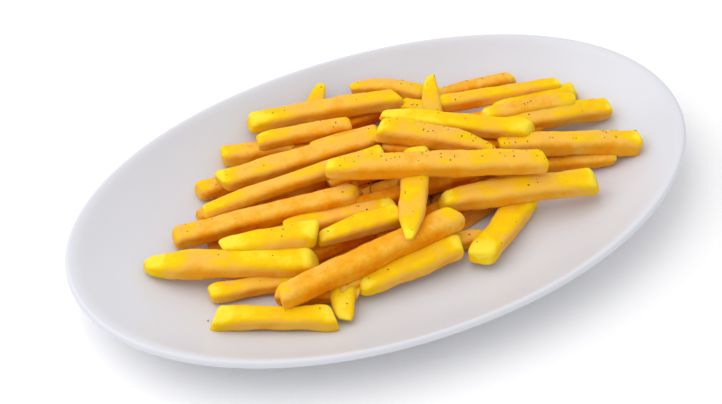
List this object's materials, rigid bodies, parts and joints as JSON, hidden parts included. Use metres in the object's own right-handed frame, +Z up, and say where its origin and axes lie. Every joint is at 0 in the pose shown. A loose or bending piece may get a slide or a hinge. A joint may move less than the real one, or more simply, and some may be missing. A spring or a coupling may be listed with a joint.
{
  "type": "plate of french fries",
  "caption": "Oval white porcelain coupe plate on a low foot ring, with an uneven heap of loose straight french fries on its floor.",
  "frame": {"origin": "under the middle of the plate, on the surface that its foot ring stands on", "axes": "+X along the plate's long axis, +Y across it, +Z up"},
  "size_m": [0.28, 0.165, 0.0384],
  "materials": {
    "porcelain": "white gloss glaze",
    "fried_potato": "golden fried crust with a thin film of oil"
  },
  "bodies": {
    "root": {"plate": "porcelain", "fries_heap": "fried_potato"}
  },
  "joints": []
}
